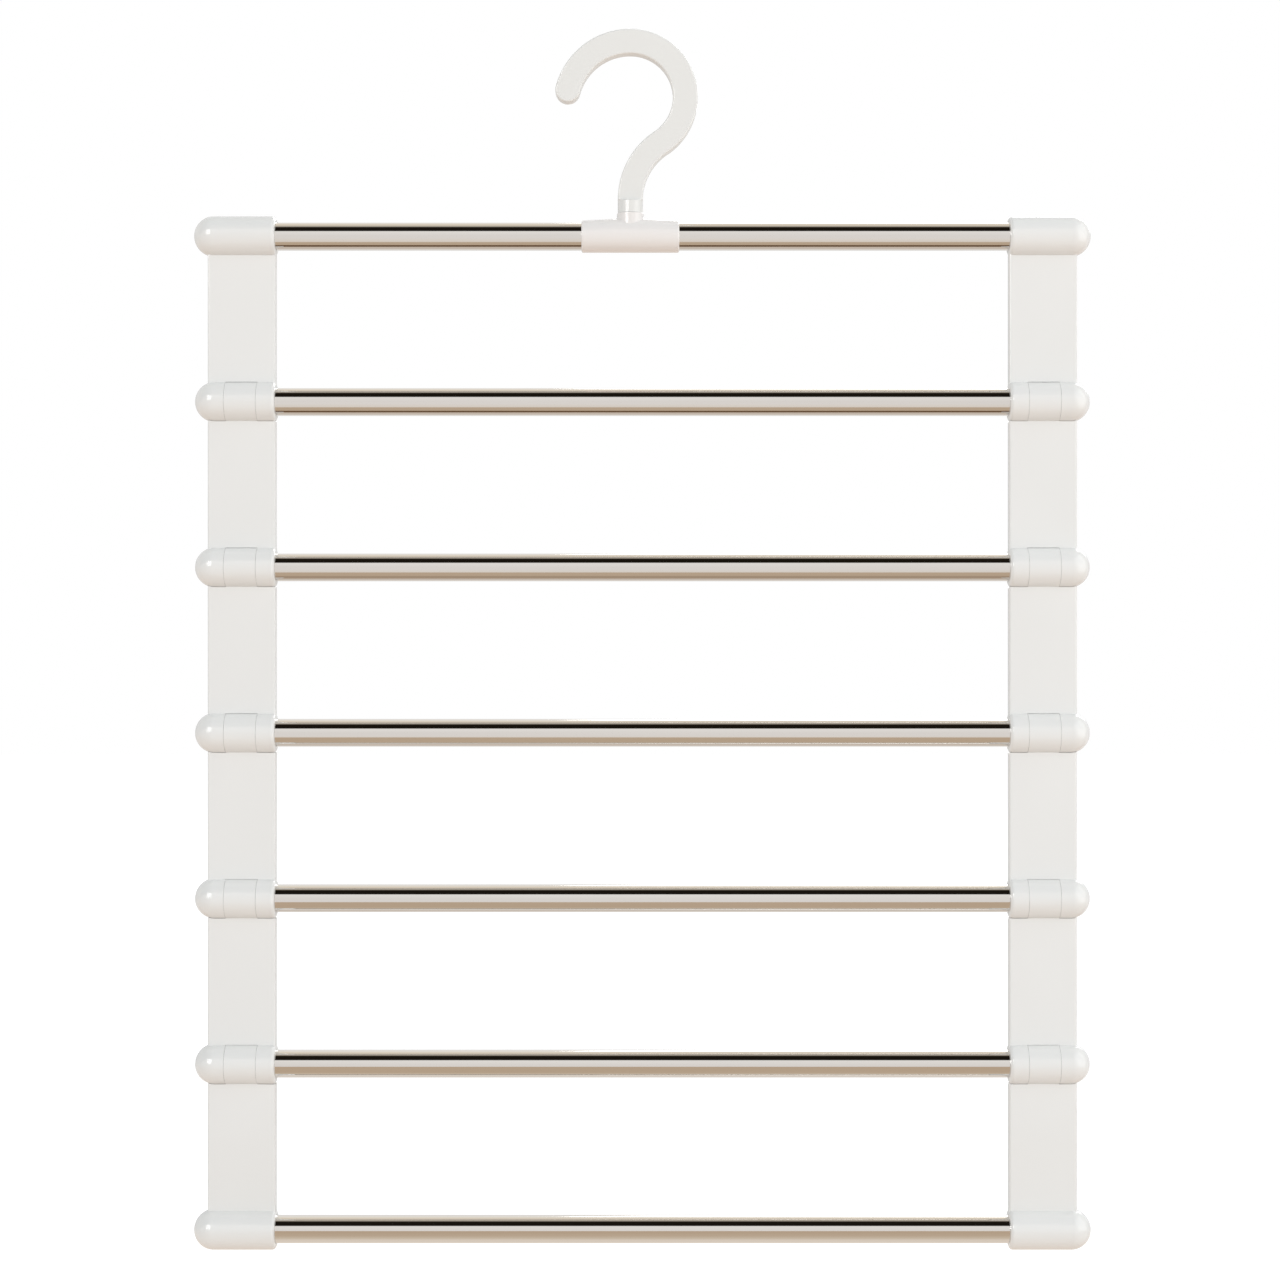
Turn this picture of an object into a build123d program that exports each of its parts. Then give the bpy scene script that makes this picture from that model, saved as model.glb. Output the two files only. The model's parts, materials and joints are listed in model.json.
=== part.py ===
from build123d import *
import os
from math import atan2, degrees, sqrt

# Multi tier trouser hanger, in millimetres. A flat hook turns on a saddle that sits round
# the top bar. Under it hang six tiers of steel tube and white plastic side links, one bar to
# a tier, and each tube is also the hinge pin on which the next tier folds.
#
# The origin is the centre of the hook's crook, on the axis of the rail that it hangs from.
# +Z is up, +X is to the right along the bars, and the front faces -Y.

# The rack
bar_count = 7
bar_pitch = 71.4
clear_span = 316.0
hook_offset = 5.2  # the rack's middle lies this far to the right of the hook's axis

# The tubes
bar_diameter = 12.0
bar_wall = 0.5
bar_end_chamfer = 0.2
bar_grip = 27.7  # how far a tube reaches into the moulding at each of its ends
bar_end_gap = 0.3

# The barrels that hold the tubes, closed by a dome at their outer end
barrel_diameter = 17.4
barrel_length = 35.0
closed_barrel_extra = 0.4  # the top and bottom barrels are this much longer
barrel_edge_radius = 1.5
inner_knuckle_length = 7.8
eye_length = 13.6

# The flat plates between the barrels, cored out from behind
plate_width = 29.3
plate_thickness = 5.2
plate_edge_radius = 0.8
plate_skin = 1.8
plate_wall = 1.8
rib_thickness = 1.4
pocket_columns = 1
pocket_rows = 3
pocket_corner_radius = 1.2

# Clearances of the side links
glue_gap = 0.03
running_gap = 0.08
knuckle_side_gap = 0.08
plate_swing_gap = 0.15

# The saddle on the top bar, and the split post on which the hook turns
sleeve_diameter = 13.8
sleeve_length = 42.1
sleeve_rise = 0.7  # the top line climbs this much from each end to its middle
sleeve_level = 15.0  # the stretch in the middle that stays level, with the boss on it
sleeve_edge_radius = 0.8
boss_diameter = 11.6
boss_height = 9.8  # from the top bar's axis
boss_foot_radius = 0.8
boss_edge_radius = 0.15
post_diameter = 5.6
post_straight = 2.6
bead_diameter = 6.6
bead_slope = 0.5
bead_land = 0.6
post_tip_diameter = 4.8
post_tip_length = 1.5
post_slot = 1.2
post_slot_floor = 1.0
swivel_gap = 0.08
swivel_lift = 0.1

# The hook
hook_width = 10.8
hook_thickness = 6.5
hook_edge_radius = 1.0
crook_radius = 23.7  # all of the hook's radii are to the middle of its width
neck_radius = 29.5
arm_radius = 27.9
arm_sweep = 75.3
stem_diameter = 10.9
stem_round_height = 15.0  # from the top bar's axis
stem_blend = 0.8
stem_corner_share = 0.99  # how round the stem's section is, where 1 is a circle

overrun = 1.0  # how far a cut runs past the face that it opens

# What follows from the sizes above
half_span = clear_span / 2
bar_radius = bar_diameter / 2
barrel_radius = barrel_diameter / 2
sleeve_radius = sleeve_diameter / 2
swing_radius = barrel_radius + plate_swing_gap
eye_start = half_span + inner_knuckle_length + knuckle_side_gap
eye_end = eye_start + eye_length
outer_knuckle_start = eye_end + knuckle_side_gap
neck_drop = sqrt((neck_radius + crook_radius) ** 2 - neck_radius**2)
neck_turn = degrees(atan2(neck_drop, neck_radius))
right, left = 1, -1


def bar_z(number):
    """Height of a bar's axis, where bar 1 is the top one."""
    top_bar_z = -neck_drop - stem_round_height - stem_blend
    return top_bar_z - (number - 1) * bar_pitch


def rack_x(side, distance):
    """The X of a place at some distance from the rack's middle."""
    return hook_offset + side * distance


def round_bar(side, axis_z, start, end, radius, mode=Mode.ADD):
    """A cylinder along X between two distances from the rack's middle."""
    with BuildSketch(Plane.YZ.offset(rack_x(side, start))) as section:
        with Locations((0, axis_z)):
            Circle(radius)
    extrude(section.sketch, amount=side * (end - start), mode=mode)


def inner_knuckle(side, axis_z, end):
    """A knuckle from the moulding's inner face, which is rounded over, to a given distance."""
    face_x = rack_x(side, half_span)
    end_x = rack_x(side, end)
    with BuildSketch(Plane.XZ) as profile:
        with BuildLine():
            over = FilletPolyline(
                (face_x, axis_z),
                (face_x, axis_z + barrel_radius),
                (end_x, axis_z + barrel_radius),
                radius=barrel_edge_radius,
            )
            Polyline(over @ 1, (end_x, axis_z), (face_x, axis_z))
        make_face()
    revolve(profile.sketch, axis=Axis((0, 0, axis_z), (1, 0, 0)))


def domed_knuckle(side, axis_z, start, extra=0, gap=0, mode=Mode.ADD):
    """A knuckle from a given distance to the moulding's domed end, or the room for one."""
    radius = barrel_radius + gap
    centre = half_span + barrel_length + extra - barrel_radius
    centre_x = rack_x(side, centre)
    start_x = rack_x(side, start)
    first_angle = 0 if side == right else 90
    with BuildSketch(Plane.XZ) as profile:
        with BuildLine():
            CenterArc((centre_x, axis_z), radius, first_angle, 90)
            Polyline(
                (centre_x, axis_z + radius),
                (start_x, axis_z + radius),
                (start_x, axis_z),
                (centre_x + side * radius, axis_z),
            )
        make_face()
    revolve(profile.sketch, axis=Axis((0, 0, axis_z), (1, 0, 0)), mode=mode)


def plate(side, upper_z, lower_z):
    """The flat plate, from one bar's axis to the next, with its long edges rounded."""
    middle = (rack_x(side, half_span + plate_width / 2), (upper_z + lower_z) / 2)
    with BuildSketch(Plane.XZ) as outline:
        with Locations(middle):
            Rectangle(plate_width, upper_z - lower_z)
    slab = extrude(outline.sketch, amount=plate_thickness / 2, both=True)
    fillet(slab.edges().filter_by(Axis.Z), radius=plate_edge_radius)


def plate_pockets(side, upper_z, lower_z):
    """Pockets cut from behind, which leave a skin, a wall all round and crossed ribs."""
    cored_width = plate_width - 2 * plate_wall
    cored_height = upper_z - lower_z - 2 * (swing_radius + plate_wall)
    pocket_width = (cored_width - (pocket_columns - 1) * rib_thickness) / pocket_columns
    pocket_height = (cored_height - (pocket_rows - 1) * rib_thickness) / pocket_rows
    middle = (rack_x(side, half_span + plate_width / 2), (upper_z + lower_z) / 2)
    with BuildSketch(Plane.XZ.offset(-plate_thickness / 2 - overrun)) as pockets:
        with Locations(middle):
            with GridLocations(
                pocket_width + rib_thickness,
                pocket_height + rib_thickness,
                pocket_columns,
                pocket_rows,
            ):
                RectangleRounded(pocket_width, pocket_height, pocket_corner_radius)
    depth = plate_thickness - plate_skin
    extrude(pockets.sketch, amount=depth + overrun, mode=Mode.SUBTRACT)


def closed_barrel(side, axis_z):
    """The whole barrel at the top or the bottom of the rack, with a blind hole for a tube."""
    inner_knuckle(side, axis_z, outer_knuckle_start)
    domed_knuckle(side, axis_z, outer_knuckle_start, extra=closed_barrel_extra)
    blind_hole(side, axis_z)


def fork(side, axis_z):
    """Two knuckles that grip a tube, with room between them for the next tier's eye."""
    round_bar(side, axis_z, eye_start - knuckle_side_gap, outer_knuckle_start, swing_radius,
              mode=Mode.SUBTRACT)
    inner_knuckle(side, axis_z, eye_start - knuckle_side_gap)
    domed_knuckle(side, axis_z, outer_knuckle_start)
    blind_hole(side, axis_z)


def blind_hole(side, axis_z):
    """The hole in which a tube is glued."""
    round_bar(side, axis_z, half_span - overrun, half_span + bar_grip + bar_end_gap,
              bar_radius + glue_gap, mode=Mode.SUBTRACT)


def eye(side, axis_z):
    """The knuckle that turns on a tube, between the two of the tier above."""
    round_bar(side, axis_z, half_span - overrun, eye_start, swing_radius, mode=Mode.SUBTRACT)
    domed_knuckle(side, axis_z, eye_end, gap=plate_swing_gap, mode=Mode.SUBTRACT)
    round_bar(side, axis_z, eye_start, eye_end, barrel_radius)
    round_bar(side, axis_z, eye_start - overrun, eye_end + overrun,
              bar_radius + running_gap, mode=Mode.SUBTRACT)


def side_link(side, tier, upper_end, lower_end):
    """One side moulding of a tier: a plate with a barrel, an eye or a fork at either end."""
    upper_z, lower_z = bar_z(tier), bar_z(tier + 1)
    with BuildPart() as link:
        plate(side, upper_z, lower_z)
        upper_end(side, upper_z)
        lower_end(side, lower_z)
        plate_pockets(side, upper_z, lower_z)
    return link.part


def tube(number):
    """One steel tube, open at both ends, which are hidden in the barrels."""
    reach = half_span + bar_grip
    with BuildPart() as bar:
        with BuildSketch(Plane.YZ.offset(rack_x(left, reach))):
            with Locations((0, bar_z(number))):
                Circle(bar_radius)
                Circle(bar_radius - bar_wall, mode=Mode.SUBTRACT)
        extrude(amount=2 * reach)
        rims = bar.edges().filter_by(GeomType.CIRCLE).group_by(SortBy.RADIUS)[-1]
        chamfer(rims, length=bar_end_chamfer)
    return bar.part


def swivel(play=0, mode=Mode.ADD):
    """The post with its snap bead, or the hole for it where there is play."""
    foot = bar_z(1) + boss_height
    bead_foot = foot + post_straight
    bead_top = bead_foot + bead_slope + bead_land
    tip = bead_top + post_tip_length + play
    with BuildSketch(Plane.XZ) as profile:
        with BuildLine():
            Polyline(
                (0, foot - overrun),
                (post_diameter / 2 + play, foot - overrun),
                (post_diameter / 2 + play, bead_foot),
                (bead_diameter / 2 + play, bead_foot + bead_slope),
                (bead_diameter / 2 + play, bead_top),
                (post_tip_diameter / 2 + play, tip),
                (0, tip),
                close=True,
            )
        make_face()
    revolve(profile.sketch, axis=Axis.Z, mode=mode)


# The saddle: a sleeve that swells upwards to the boss, and the post on top of the boss
with BuildPart() as saddle:
    saddle_z = bar_z(1)
    swelled_radius = sleeve_radius + sleeve_rise / 2
    sleeve_sections = [
        (-sleeve_length / 2, sleeve_radius),
        (-sleeve_level / 2, swelled_radius),
        (sleeve_level / 2, swelled_radius),
        (sleeve_length / 2, sleeve_radius),
    ]
    for section_x, section_radius in sleeve_sections:
        with BuildSketch(Plane.YZ.offset(section_x)):
            with Locations((0, saddle_z - sleeve_radius + section_radius)):
                Circle(section_radius)
    loft(ruled=True)
    sleeve_ends = saddle.faces().filter_by(Axis.X)
    fillet(sleeve_ends.edges(), radius=sleeve_edge_radius)
    with BuildSketch(Plane.XY.offset(saddle_z)):
        Circle(boss_diameter / 2)
    extrude(amount=boss_height)
    boss_top = saddle.faces().sort_by(Axis.Z)[-1]
    boss_wall = saddle.faces().filter_by(GeomType.CYLINDER).sort_by(Axis.Z)[-1]
    boss_foot = boss_wall.edges() - boss_top.edges()
    fillet(boss_foot.filter_by(GeomType.LINE, reverse=True), radius=boss_foot_radius)
    boss_top = saddle.faces().sort_by(Axis.Z)[-1]
    fillet(boss_top.edges(), radius=boss_edge_radius)
    swivel()
    with BuildSketch(Plane.XZ):
        slot_foot = saddle_z + boss_height + post_slot_floor
        with Locations((0, slot_foot)):
            slot_height = post_straight + bead_slope + bead_land + post_tip_length
            Rectangle(post_slot, slot_height, align=(Align.CENTER, Align.MIN))
    extrude(amount=bead_diameter, both=True, mode=Mode.SUBTRACT)
    with BuildSketch(Plane.YZ):
        with Locations((0, saddle_z)):
            Circle(bar_radius + running_gap)
    extrude(amount=sleeve_length, both=True, mode=Mode.SUBTRACT)
saddle.part.label = "saddle"

# The hook: a flat profile with its edges rounded over, on a round stem that is hollow
with BuildPart() as hook:
    flat_start_z = -neck_drop
    with BuildSketch(Plane.XZ):
        with BuildLine():
            CenterArc((neck_radius, flat_start_z), neck_radius, 180, -neck_turn)
            CenterArc((0, 0), crook_radius, -neck_turn, 90 + neck_turn)
            arm = CenterArc((0, crook_radius - arm_radius), arm_radius, 90, arm_sweep)
        trace(line_width=hook_width)
        with Locations(arm @ 1):
            Circle(hook_width / 2)
    extrude(amount=hook_thickness / 2, both=True)
    foot_edges = hook.faces().sort_by(Axis.Z)[0].edges()
    outline_edges = hook.faces().filter_by(Axis.Y).edges() - foot_edges
    fillet(outline_edges, radius=hook_edge_radius)
    with BuildSketch(Plane.XY.offset(flat_start_z)):
        RectangleRounded(hook_width, hook_thickness, hook_edge_radius)
    with BuildSketch(Plane.XY.offset(flat_start_z - stem_blend)):
        stem_corner_radius = stem_corner_share * stem_diameter / 2
        RectangleRounded(stem_diameter, stem_diameter, stem_corner_radius)
    loft()
    stem_foot_z = bar_z(1) + boss_height + swivel_lift
    with BuildSketch(Plane.XY.offset(stem_foot_z)):
        RectangleRounded(stem_diameter, stem_diameter, stem_corner_radius)
    extrude(amount=flat_start_z - stem_blend - stem_foot_z)
    swivel(play=swivel_gap, mode=Mode.SUBTRACT)
hook.part.label = "hook"

pieces = [saddle.part, hook.part]

# The tubes and the side links
for number in range(1, bar_count + 1):
    bar = tube(number)
    bar.label = f"bar_{number}"
    pieces.append(bar)

for side, side_name in ((left, "left"), (right, "right")):
    top_link = side_link(side, 1, closed_barrel, fork)
    top_link.label = f"top_link_{side_name}"
    pieces.append(top_link)
    for tier in range(2, bar_count - 1):
        middle_link = side_link(side, tier, eye, fork)
        middle_link.label = f"middle_link_{side_name}_{tier - 1}"
        pieces.append(middle_link)
    bottom_link = side_link(side, bar_count - 1, eye, closed_barrel)
    bottom_link.label = f"bottom_link_{side_name}"
    pieces.append(bottom_link)

os.makedirs("parts", exist_ok=True)
for piece in pieces:
    export_step(piece, f"parts/{piece.label}.step")
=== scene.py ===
# %% [markdown]
# # A trouser rack that folds
#
# Seven polished steel tubes hang one under another between white side mouldings, below a flat
# hook that turns on a saddle round the top tube. Each tube is also the hinge pin of the next
# tier. The model that is loaded here is the engineer's: its sizes, joints and bodies are
# fixed. What this lesson adds is everything that a customer sees: edges that catch the light,
# moulded plastic, mirror steel, and the light itself.

# %% Load the frame
import json
import math

import bmesh
import bpy
from mathutils import Matrix, Vector


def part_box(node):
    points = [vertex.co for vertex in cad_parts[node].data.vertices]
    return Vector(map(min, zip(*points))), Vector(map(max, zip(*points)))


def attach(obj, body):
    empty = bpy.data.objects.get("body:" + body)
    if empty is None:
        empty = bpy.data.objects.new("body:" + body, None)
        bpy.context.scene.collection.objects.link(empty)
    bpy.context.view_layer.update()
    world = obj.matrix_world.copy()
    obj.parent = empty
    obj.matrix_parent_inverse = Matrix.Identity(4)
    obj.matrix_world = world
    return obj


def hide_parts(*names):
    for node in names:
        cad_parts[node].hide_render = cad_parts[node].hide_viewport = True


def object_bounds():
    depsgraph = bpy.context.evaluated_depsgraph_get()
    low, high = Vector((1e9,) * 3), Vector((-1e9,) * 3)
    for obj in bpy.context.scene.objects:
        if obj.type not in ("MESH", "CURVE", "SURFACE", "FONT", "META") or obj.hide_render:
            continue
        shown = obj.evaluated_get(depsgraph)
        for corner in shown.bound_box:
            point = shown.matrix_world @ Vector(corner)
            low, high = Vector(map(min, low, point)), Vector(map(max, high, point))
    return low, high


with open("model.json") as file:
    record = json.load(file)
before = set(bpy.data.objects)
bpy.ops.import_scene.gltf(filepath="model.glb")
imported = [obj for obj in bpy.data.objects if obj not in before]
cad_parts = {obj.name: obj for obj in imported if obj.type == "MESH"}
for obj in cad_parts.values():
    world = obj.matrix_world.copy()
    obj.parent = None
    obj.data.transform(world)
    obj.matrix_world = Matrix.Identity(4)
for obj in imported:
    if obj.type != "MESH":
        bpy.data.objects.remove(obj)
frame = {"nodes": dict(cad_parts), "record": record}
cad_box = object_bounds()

MM = 0.001

# %% [markdown]
# ## Sizes that the frame already holds
#
# A box round a node gives most of what is needed: a tube's axis is the middle of its box, and
# a barrel's radius is half the depth of a side moulding. Reading these instead of typing them
# keeps every new piece on the engineer's model, even when that model changes.

# %% Read the tubes and the mouldings
bar_names = sorted(name for name in frame["nodes"] if name.startswith("bar_"))
tube_low, tube_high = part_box(bar_names[0])
tube_length = tube_high.x - tube_low.x
tube_radius = (tube_high.z - tube_low.z) / 2
rack_middle = (tube_high.x + tube_low.x) / 2


def bar_height(number):
    """Height of a tube's axis, where tube 1 is the top one."""
    low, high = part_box(f"bar_{number}")
    return (low.z + high.z) / 2


bar_pitch = bar_height(1) - bar_height(2)
link_low, link_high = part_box("middle_link_right_1")
inner_face = link_low.x - rack_middle
knuckle_tip = link_high.x - rack_middle
closed_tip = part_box("top_link_right")[1].x - rack_middle
barrel_radius = link_high.y
body_of = {
    node: body
    for body, nodes in frame["record"]["behaviour"]["bodies"].items()
    for node in nodes
}
print(f"tubes {tube_length / MM:.1f} mm long, {2 * tube_radius / MM:.1f} mm thick, "
      f"{bar_pitch / MM:.1f} mm apart")

# %% [markdown]
# ## The plastic
#
# The mouldings are a glossy, slightly warm white plastic. Up close such a surface is never
# quite even: it has a faint orange peel from the mould, patches that are a touch more matt,
# and a fine witness line where the two halves of the mould met. Here the halves part at
# Y = 0 on every piece, so one mask on the Object coordinates draws that line everywhere, and
# it stays in place when the rack folds.

# %% Helpers for shader trees
def bare_material(name):
    """A material with only its surface socket and the piece's own coordinates."""
    material = bpy.data.materials.new(name)
    material.use_nodes = True
    tree = material.node_tree
    tree.nodes.clear()
    output = tree.nodes.new("ShaderNodeOutputMaterial")
    place = tree.nodes.new("ShaderNodeTexCoord")
    return material, tree, output.inputs["Surface"], place.outputs["Object"]


def new_material(name):
    """A material with its shader and the piece's own coordinates."""
    material, tree, surface, place = bare_material(name)
    shader = tree.nodes.new("ShaderNodeBsdfPrincipled")
    tree.links.new(shader.outputs["BSDF"], surface)
    return material, tree, shader, place


def noise(tree, place, scale, detail=2.0, stretch=(1, 1, 1)):
    """A noise value at a scale in cycles per metre, stretched along the axes."""
    mapping = tree.nodes.new("ShaderNodeMapping")
    mapping.inputs["Scale"].default_value = stretch
    texture = tree.nodes.new("ShaderNodeTexNoise")
    texture.inputs["Scale"].default_value = scale
    texture.inputs["Detail"].default_value = detail
    tree.links.new(place, mapping.inputs["Vector"])
    tree.links.new(mapping.outputs["Vector"], texture.inputs["Vector"])
    return texture.outputs["Fac"]


def spread(tree, value, low, high, from_low=0.3, from_high=0.7):
    """Maps a value from one range to another, and holds it at the ends."""
    node = tree.nodes.new("ShaderNodeMapRange")
    node.inputs["From Min"].default_value = from_low
    node.inputs["From Max"].default_value = from_high
    node.inputs["To Min"].default_value = low
    node.inputs["To Max"].default_value = high
    tree.links.new(value, node.inputs["Value"])
    return node.outputs["Result"]


def tint(tree, value, dark, light):
    """A colour between two, by a value."""
    node = tree.nodes.new("ShaderNodeMix")
    node.data_type = "RGBA"
    node.inputs["A"].default_value = (*dark, 1)
    node.inputs["B"].default_value = (*light, 1)
    tree.links.new(value, node.inputs["Factor"])
    return node.outputs["Result"]


def bump(tree, height, depth, under=None):
    """A bump of a real depth in metres, on top of another one."""
    node = tree.nodes.new("ShaderNodeBump")
    node.inputs["Strength"].default_value = 1.0
    node.inputs["Distance"].default_value = depth
    tree.links.new(height, node.inputs["Height"])
    if under:
        tree.links.new(under, node.inputs["Normal"])
    return node.outputs["Normal"]


def parts_of(tree, vector):
    """The three parts of a place or a direction."""
    axes = tree.nodes.new("ShaderNodeSeparateXYZ")
    tree.links.new(vector, axes.inputs["Vector"])
    return axes.outputs


def calculated(tree, operation, first, second=None):
    """One step of arithmetic on values."""
    node = tree.nodes.new("ShaderNodeMath")
    node.operation = operation
    tree.links.new(first, node.inputs[0])
    if isinstance(second, (int, float)):
        node.inputs[1].default_value = second
    elif second:
        tree.links.new(second, node.inputs[1])
    return node.outputs["Value"]


# %% Moulded plastic
def witness_line(tree, place, half_width):
    """1 on the line where the mould parts, fading to 0 at its half width."""
    away = calculated(tree, "ABSOLUTE", parts_of(tree, place)["Y"])
    return spread(tree, away, 1.0, 0.0, 0.0, half_width)


def moulded_plastic(name, dark, light):
    """Glossy white plastic with orange peel, matt patches and a witness line."""
    material, tree, shader, place = new_material(name)
    clouds = noise(tree, place, scale=24, detail=2)
    colour = tint(tree, spread(tree, clouds, 0, 1), dark, light)
    tree.links.new(colour, shader.inputs["Base Color"])
    patches = noise(tree, place, scale=130, detail=3)
    roughness = spread(tree, patches, 0.11, 0.16)
    tree.links.new(roughness, shader.inputs["Roughness"])
    shader.inputs["IOR"].default_value = 1.49
    peel = bump(tree, noise(tree, place, scale=260, detail=1), depth=0.003 * MM)
    line = bump(tree, witness_line(tree, place, 0.09 * MM), depth=0.01 * MM, under=peel)
    tree.links.new(line, shader.inputs["Normal"])
    return material


link_plastic = moulded_plastic("white_link_plastic", (0.795, 0.795, 0.775), (0.805, 0.805, 0.786))
hook_plastic = moulded_plastic("white_hook_plastic", (0.775, 0.775, 0.750), (0.785, 0.785, 0.761))
saddle_plastic = moulded_plastic("white_saddle_plastic", (0.820, 0.795, 0.772), (0.830, 0.805, 0.784))
print("plastics:", link_plastic.name, hook_plastic.name, saddle_plastic.name)

# %% [markdown]
# ## The steel
#
# The tubes are thin stainless, polished to a mirror. Polishing leaves hair-fine rings round
# the tube, too shallow to dull the reflections but enough to soften their edges a little, and
# handling leaves a few lengthwise rubs. Both are noises stretched along one axis.

# %% Polished tube
def polished_steel(name):
    """Mirror stainless with fine polishing rings and faint lengthwise rubs."""
    material, tree, shader, place = new_material(name)
    shader.inputs["Metallic"].default_value = 1.0
    rings = noise(tree, place, scale=60, detail=4, stretch=(60, 0.6, 0.6))
    rubs = noise(tree, place, scale=90, detail=3, stretch=(0.08, 6, 6))
    colour = tint(tree, spread(tree, rubs, 0, 1), (0.715, 0.705, 0.69), (0.735, 0.725, 0.71))
    tree.links.new(colour, shader.inputs["Base Color"])
    tree.links.new(spread(tree, rubs, 0.04, 0.065), shader.inputs["Roughness"])
    tree.links.new(bump(tree, rings, depth=0.00008 * MM), shader.inputs["Normal"])
    return material


tube_steel = polished_steel("polished_tube_steel")
print("steel:", tube_steel.name)

# %% [markdown]
# ## Tubes by Geometry Nodes
#
# A tube is a rule: a long thin rectangle, the cut through its wall, swept round a circle. So
# it suits a node tree with the real sizes as inputs. The corners of the rectangle are
# rounded first, which gives the rims of the tube the small radius that deburring leaves.

# %% A small kit for node trees
def new_tree(name, inputs):
    """A geometry tree with named inputs, given as (name, socket type)."""
    tree = bpy.data.node_groups.new(name, "GeometryNodeTree")
    tree.interface.new_socket("Geometry", in_out="INPUT", socket_type="NodeSocketGeometry")
    for label, kind in inputs:
        tree.interface.new_socket(label, in_out="INPUT", socket_type=kind)
    tree.interface.new_socket("Geometry", in_out="OUTPUT", socket_type="NodeSocketGeometry")
    return tree


def wired(tree, kind, settings=None, **sources):
    """Adds a node, sets its options, and links or sets its inputs by name."""
    node = tree.nodes.new(kind)
    for option, choice in (settings or {}).items():
        setattr(node, option, choice)
    for label, source in sources.items():
        socket = node.inputs[label.replace("_", " ")]
        if isinstance(source, bpy.types.NodeSocket):
            tree.links.new(source, socket)
        else:
            socket.default_value = source
    return node


def set_inputs(modifier, values):
    """Sets a modifier's inputs by their labels, through the sockets' identifiers."""
    for item in modifier.node_group.interface.items_tree:
        if item.item_type == "SOCKET" and item.in_out == "INPUT" and item.name in values:
            modifier[item.identifier] = values[item.name]


def settled(builder, name):
    """The plain mesh of an object with its modifiers applied, as a new object."""
    graph = bpy.context.evaluated_depsgraph_get()
    mesh = bpy.data.meshes.new_from_object(builder.evaluated_get(graph))
    mesh.name = name
    piece = bpy.data.objects.new(name, mesh)
    bpy.context.scene.collection.objects.link(piece)
    bpy.data.objects.remove(builder)
    return piece


# %% The tube's tree
def tube_tree():
    """A tube along X: the cut through its wall, swept round a circle."""
    tree = new_tree("swept_tube", [
        ("Length", "NodeSocketFloat"),
        ("Radius", "NodeSocketFloat"),
        ("Wall", "NodeSocketFloat"),
        ("Rim Round", "NodeSocketFloat"),
        ("Facets", "NodeSocketInt"),
        ("Place", "NodeSocketVector"),
        ("Material", "NodeSocketMaterial"),
    ])
    given = tree.nodes.new("NodeGroupInput").outputs
    result = tree.nodes.new("NodeGroupOutput")
    half_wall = calculated(tree, "MULTIPLY", given["Wall"], 0.5)
    middle = calculated(tree, "SUBTRACT", given["Radius"], half_wall)
    path = wired(tree, "GeometryNodeCurvePrimitiveCircle", Resolution=given["Facets"],
                 Radius=middle)
    cut = wired(tree, "GeometryNodeCurvePrimitiveQuadrilateral", Width=given["Wall"],
                Height=given["Length"])
    rounded = wired(tree, "GeometryNodeFilletCurve", {"mode": "POLY"},
                    Curve=cut.outputs["Curve"], Radius=given["Rim Round"], Count=3)
    swept = wired(tree, "GeometryNodeCurveToMesh", Curve=path.outputs["Curve"],
                  Profile_Curve=rounded.outputs["Curve"])
    turned = wired(tree, "GeometryNodeTransform", Geometry=swept.outputs["Mesh"],
                   Rotation=(0, math.pi / 2, 0), Translation=given["Place"])
    smooth = wired(tree, "GeometryNodeSetShadeSmooth", Geometry=turned.outputs["Geometry"])
    real = wired(tree, "GeometryNodeRealizeInstances", Geometry=smooth.outputs["Geometry"])
    dressed = wired(tree, "GeometryNodeSetMaterial", Geometry=real.outputs["Geometry"],
                    Material=given["Material"])
    tree.links.new(dressed.outputs["Geometry"], result.inputs["Geometry"])
    return tree


# %% Make the seven tubes
tube_wall = 0.5 * MM
rim_round = 0.2 * MM
tube_facets = 144
swept_tube = tube_tree()


def new_builder(name):
    """An object with an empty mesh, to carry modifiers."""
    builder = bpy.data.objects.new(name, bpy.data.meshes.new(name))
    bpy.context.scene.collection.objects.link(builder)
    return builder


for number, node in enumerate(bar_names, 1):
    builder = new_builder(f"tube_{number}_builder")
    modifier = builder.modifiers.new("sweep", "NODES")
    modifier.node_group = swept_tube
    set_inputs(modifier, {
        "Length": tube_length,
        "Radius": tube_radius,
        "Wall": tube_wall,
        "Rim Round": rim_round,
        "Facets": tube_facets,
        "Place": (rack_middle, 0, bar_height(number)),
        "Material": tube_steel,
    })
    normals = builder.modifiers.new("normals", "WEIGHTED_NORMAL")
    normals.keep_sharp = True
    piece = settled(builder, f"steel_tube_{number}")
    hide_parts(node)
    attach(piece, body_of[node])
print("tubes:", len(bar_names), "of", len(piece.data.polygons), "faces each")

# %% [markdown]
# ## Solids that are turned
#
# Knuckles, barrels and eyes are all turned about a tube's axis. Their outlines are short
# lists of corners, each with its own radius, and one helper rounds them. Every edge gets at
# least a small radius, because an edge with none never catches the light and looks drawn.

# %% Outlines with rounded corners
arc_step = 0.45 * MM
tolerance = 0.001 * MM


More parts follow.
